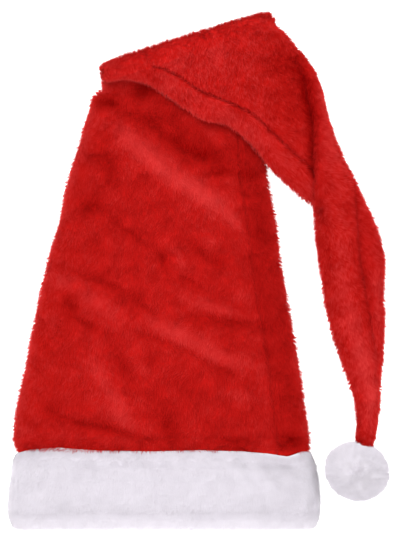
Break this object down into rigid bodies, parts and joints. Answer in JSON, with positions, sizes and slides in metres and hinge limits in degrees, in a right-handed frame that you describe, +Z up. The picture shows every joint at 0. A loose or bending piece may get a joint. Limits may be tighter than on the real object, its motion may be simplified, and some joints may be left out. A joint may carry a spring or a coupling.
{
  "type": "santa hat",
  "caption": "Long plush stocking-type Santa hat lying flat, its point folded over to the side, with a wide white brim and a pompom at the tip.",
  "frame": {"origin": "on the table, under the middle of the lying hat", "axes": "+Z up from the table, +Y from the brim towards the fold at the top, +X towards the side that the point hangs over"},
  "size_m": [0.365, 0.4948, 0.0566],
  "materials": {
    "red_plush": "short dense red pile, matt with a soft sheen",
    "white_plush": "white pile, matt and slightly cool"
  },
  "bodies": {
    "root": {"crown_front": "red_plush", "crown_back": "red_plush", "fur_brim": "white_plush", "pompom": "white_plush"}
  },
  "joints": []
}
